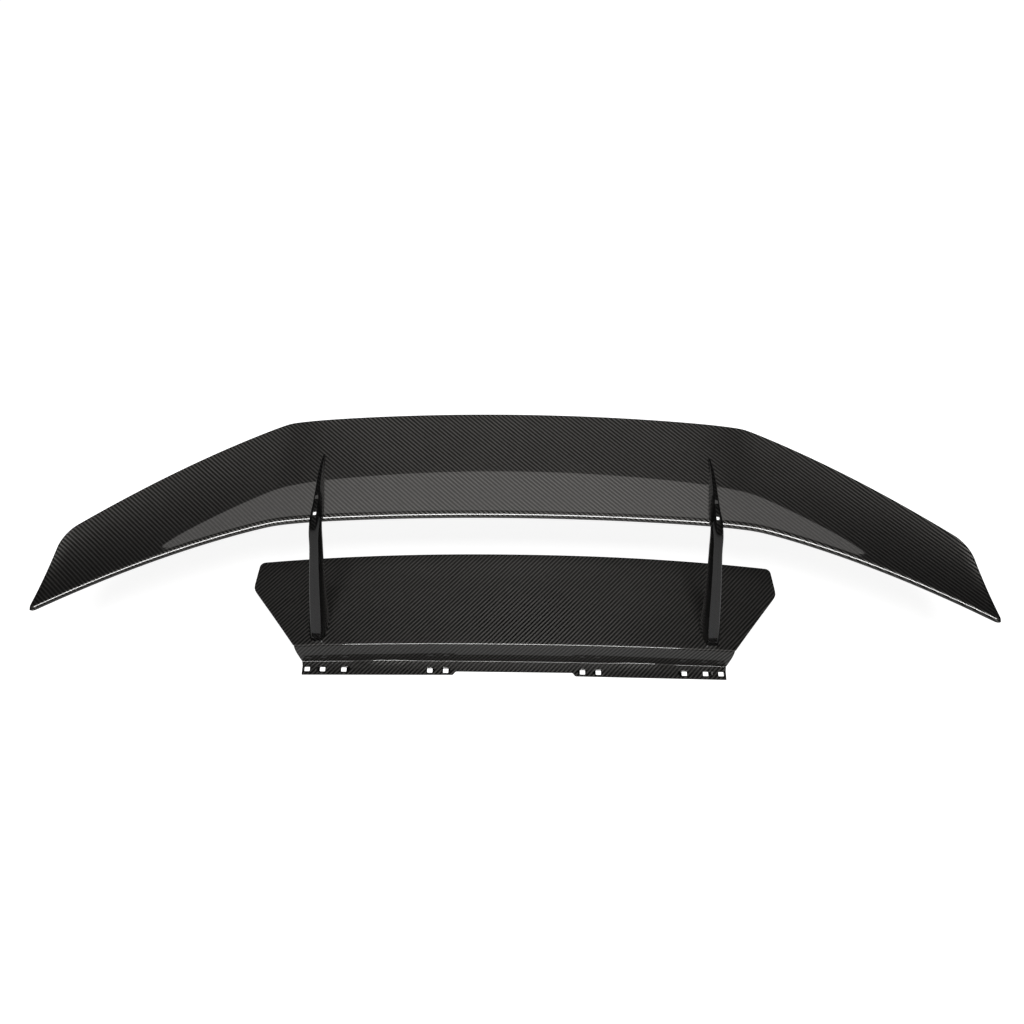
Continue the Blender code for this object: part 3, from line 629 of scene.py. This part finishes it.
def base_profile(column):
    """Points of the base's top side from the flange's front edge to the deck's rear edge."""
    x_low, x_mid, x_top = column * FLANGE_HALF, column * CREASE_HALF, column * BROW_HALF
    crease_y, brow_y = flange_crease_y(x_mid), deck_front_y(x_top)
    brow = Vector((x_top, brow_y, deck_z(x_top, brow_y)))
    edge_y = flange_edge_y(x_low)
    strip = Vector((x_low, edge_y + STRIP_DEPTH, FLANGE_WALL))
    crease = Vector((x_mid, crease_y, FLANGE_WALL + ramp(x_mid)))
    lean = (brow - crease).normalized()
    climb = (crease - strip).normalized()
    lean = Vector((lean.x, RISER_LEAN * lean.z, lean.z)).normalized()
    steep = [crease, crease + 0.45 * (brow.z - crease.z) * lean,
             brow - Vector((0.0, 0.0034, 0.0074)), brow]
    flange = [Vector((x_low, y, FLANGE_WALL)) for y in (edge_y, edge_y + 0.0004, edge_y + 0.008)]
    flange += bend((strip - Vector((0.0, 0.0020, 0.0)), strip, strip + 0.0015 * climb), 4)
    foot = bend((crease - 0.0016 * climb, crease, crease + 0.0020 * lean))
    deck = []
    for along in [0.012] + spread(0.03, 0.94, 30) + [0.955, 0.97, 0.982, 0.991, 0.997, 1.0]:
        x = column * deck_half_width(along)
        y = deck_front_y(x) + along * (deck_rear_y(x) - deck_front_y(x))
        deck.append(Vector((x, y, deck_z(x, y))))
    riser = [curve(steep, place) for place in (0.25, 0.4, 0.55, 0.7, 0.82, 0.92)]
    top = bend((riser[-1], brow, deck[0]))
    return flange + foot + riser[:-1] + top[:-1] + deck


def clip_hole_ring(x):
    """A square with rounded corners round a clip hole's middle."""
    wide, deep = (0.5 * size - CLIP_HOLE_ROUND for size in CLIP_HOLE_SIZE)
    ring = []
    for corner in range(4):
        middle = pi / 4 + corner * pi / 2
        for step in range(4):
            turn = middle + pi / 2 * (step / 3 - 0.5)
            ring.append((x + wide * sqrt(2) * cos(middle) + CLIP_HOLE_ROUND * cos(turn),
                         CLIP_HOLE_Y + deep * sqrt(2) * sin(middle) + CLIP_HOLE_ROUND * sin(turn)))
    return ring


def base_moulding(look):
    """Deck, riser and flange in one sheet, with the square clip holes cut through the flange."""
    outer, inner = [], []
    for column in base_columns():
        row = base_profile(column)
        outer.append(row)
        under = []
        for number, point in enumerate(row):
            before, after = row[max(number - 1, 0)], row[min(number + 1, len(row) - 1)]
            along = Vector((0.0, after.y - before.y, after.z - before.z)).normalized()
            wall = FLANGE_WALL if number < 10 else DECK_WALL
            under.append(point + wall * Vector((0.0, along.z, -along.y)))
        inner.append(under)
    deck = thick_sheet("base_moulding", outer, inner, look, 50.0)
    cutters = []
    for x in [side * place for _, side in SIDES for place in CLIP_HOLES]:
        rings = [[Vector((*point, z)) for point in clip_hole_ring(x)] for z in (-0.004, 0.006)]
        cutters.append(loft("clip hole", rings, look))
    cut(deck, cutters)
    return deck


def tray_ring(inset_by, height_at):
    """A ring round the tray with rounded corners, drawn in by an inset."""
    ring = []
    low, high = TRAY_FRONT + inset_by, TRAY_REAR - inset_by
    half_low, half_high = TRAY_HALF_FRONT - inset_by, TRAY_HALF_REAR - inset_by
    middle_y = 0.5 * (low + high)
    for side_x, side_y, first in ((1, -1, -90), (1, 1, 0), (-1, 1, 90), (-1, -1, 180)):
        half = half_low if side_y < 0 else half_high
        y_end = low if side_y < 0 else high
        for step in range(7):
            turn = radians(first + 15 * step)
            ring.append((side_x * (half - TRAY_CORNER) + TRAY_CORNER * cos(turn),
                         y_end - side_y * TRAY_CORNER + TRAY_CORNER * sin(turn)))
        start, end = ring[-1], None
        if side_x == 1 and side_y == 1:
            end = TRAY_CORNER - half_high
        if side_x == -1 and side_y == -1:
            end = half_low - TRAY_CORNER
        if end is not None:
            ring += [(start[0] + (end - start[0]) * step / 16, start[1]) for step in range(1, 16)]
        else:
            ring.append((start[0], middle_y))
    return [Vector((x, y, height_at(x, y))) for x, y in ring]


def under_tray(look):
    """The pan that closes the base from below, with a rounded foot."""
    def rim(x, y):
        return deck_z(x, y) - DECK_WALL - 2 * GAP

    def level(height):
        return lambda x, y: height

    rings = [tray_ring(SKIN + 0.010, level(SKIN)), tray_ring(SKIN + 0.0066, level(SKIN + 0.0024)),
             tray_ring(SKIN, rim), tray_ring(0.0, rim)]
    for step in range(6):
        turn = pi / 2 * step / 5
        rings.append(tray_ring(TRAY_FOOT_INSET + TRAY_FOOT_ROUND * (1 - cos(turn)),
                               level(TRAY_FOOT_ROUND * (1 - sin(turn)))))
    return loft("base_under_pan", rings, look, 50.0)


# ---------------------------------------------------------------- the wing

def dress_frame(looks):
    """Give each of the frame's own nodes that stays its material."""
    for name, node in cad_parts.items():
        if name.startswith(("backing", "strut_core", "strut_foot", "blade_insert")):
            look = looks["aluminium"]
        elif "bolt" in name or "washer" in name:
            look = looks["steel"]
        else:
            look = looks["laminate"]
        node.data.materials.clear()
        node.data.materials.append(look)


def make_wing(looks):
    """Draw the fine skins, and put each in the place of its node of the frame."""
    pieces = [
        (upper_skin(looks["blade"]), "blade_upper_skin", "blade_carbon"),
        (lower_skin(looks["blade"]), "blade_lower_skin", "blade_carbon"),
        (base_moulding(looks["base"]), "base_deck", "base_carbon"),
        (under_tray(looks["laminate"]), "base_under_tray", "inner_carbon"),
    ]
    for tag, side in SIDES:
        for half, outward in (("outer", 1.0), ("inner", -1.0)):
            shell = strut_shell(f"strut_{half}_half_{tag}", side, outward, looks["strut"])
            pieces.append((shell, f"strut_{half}_shell_{tag}", "strut_carbon"))
    for piece, node, slot in pieces:
        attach(piece, "root")
        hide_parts(node)


# ---------------------------------------------------------------- studio

CAMERA_AIM = Vector((-0.0069, 0.1088, 0.1720))
CAMERA_DISTANCE = 2.72
CAMERA_ELEVATION = radians(48.0)
CAMERA_ROLL = 0.0125
LENS = 56.25

FLOOR_HALF, FLOOR_Z = 9, -0.0002
FLOOR_GLOW = (0.05, 0.87)         # the floor's own light, for the wing and for the camera
SURROUND_LIGHT, BACKDROP = 0.06, 0.92
REAR_PANEL = dict(place=(0.0, 2.2, 3.36), aim=(0.0, -1.0, 3.36), size=(3.2, 1.10), strength=1.0,
                  colour=(1.0, 0.975, 0.95), shape="ELLIPSE")
FRONT_STRIP = dict(place=(0.0, -1.67, 3.2), aim=(0.0, -0.05, 0.2), size=(1.5, 0.75), strength=28.5,
                   colour=(1.0, 1.0, 1.0), shape="RECTANGLE")


def camera():
    """Look down on the wing from the front, with the slight roll of a hand-held view."""
    forward = Vector((0.0, cos(CAMERA_ELEVATION), -sin(CAMERA_ELEVATION)))
    right = Vector((1.0, 0.0, 0.0))
    up = right.cross(forward)
    tilted_right = right * cos(CAMERA_ROLL) + up * sin(CAMERA_ROLL)
    tilted_up = up * cos(CAMERA_ROLL) - right * sin(CAMERA_ROLL)
    data = bpy.data.cameras.new("camera")
    data.lens = LENS
    data.sensor_width = 36.0
    data.clip_end = 50.0
    seen_by = bpy.data.objects.new("camera", data)
    bpy.context.collection.objects.link(seen_by)
    turn = Matrix((tilted_right, tilted_up, -forward)).transposed().to_4x4()
    seen_by.matrix_world = Matrix.Translation(CAMERA_AIM - CAMERA_DISTANCE * forward) @ turn
    bpy.context.scene.camera = seen_by


def soft_box(name, place, aim, size, strength, colour, shape):
    """An area light: its strength is the radiance of a rectangle of its size."""
    data = bpy.data.lights.new(name, "AREA")
    data.shape = shape
    data.size, data.size_y = size
    data.energy = strength * pi * size[0] * size[1]
    data.color = colour
    lamp = bpy.data.objects.new(name, data)
    bpy.context.collection.objects.link(lamp)
    lamp.location = place
    lamp.rotation_euler = (Vector(aim) - Vector(place)).to_track_quat("-Z", "Y").to_euler()


def lay_floor():
    work = bmesh.new()
    work.faces.new([work.verts.new((side * FLOOR_HALF, end * FLOOR_HALF, FLOOR_Z))
                    for side, end in ((-1, -1), (1, -1), (1, 1), (-1, 1))])
    place_mesh("floor", work, floor_material())


def surround():
    """A dim even light all round, which the camera sees as a pale backdrop."""
    world = bpy.data.worlds.new("studio")
    bpy.context.scene.world = world
    world.use_nodes = True
    nodes, links = world.node_tree.nodes, world.node_tree.links
    around = nodes["Background"]
    around.inputs["Color"].default_value = (1.0, 1.0, 1.0, 1.0)
    around.inputs["Strength"].default_value = SURROUND_LIGHT
    behind = nodes.new("ShaderNodeBackground")
    behind.inputs["Color"].default_value = (BACKDROP, BACKDROP, BACKDROP, 1.0)
    path = nodes.new("ShaderNodeLightPath")
    chosen = nodes.new("ShaderNodeMixShader")
    links.new(path.outputs["Is Camera Ray"], chosen.inputs[0])
    links.new(around.outputs[0], chosen.inputs[1])
    links.new(behind.outputs[0], chosen.inputs[2])
    links.new(chosen.outputs[0], nodes["World Output"].inputs["Surface"])
    bpy.context.scene.view_settings.view_transform = "Standard"


def studio():
    """A pale sweep, a faint wide panel high behind the wing and a strong soft box above its front."""
    lay_floor()
    soft_box("rear panel", **REAR_PANEL)
    soft_box("front strip", **FRONT_STRIP)
    surround()


LOOKS = {
    # The last two numbers of each carbon are its warp and weft tow colours; their difference is a painted
    # highlight and painted shade for the fibres' glint.
    "blade": carbon("blade carbon", 0.0, False, 0.030, 0.095),
    "base": carbon("base carbon", DECK_CLOTH_TURN, True, 0.030, 0.085),
    "strut": carbon("strut carbon", 0.0, False, 0.008, 0.014),
    "laminate": laminate("bare laminate"),
    "aluminium": machined("machined aluminium", (0.78, 0.79, 0.80), 0.42, 0.26),
    "steel": machined("zinc-plated steel", (0.62, 0.63, 0.66), 0.36, 0.20),
}

camera()
dress_frame(LOOKS)
make_wing(LOOKS)
studio()
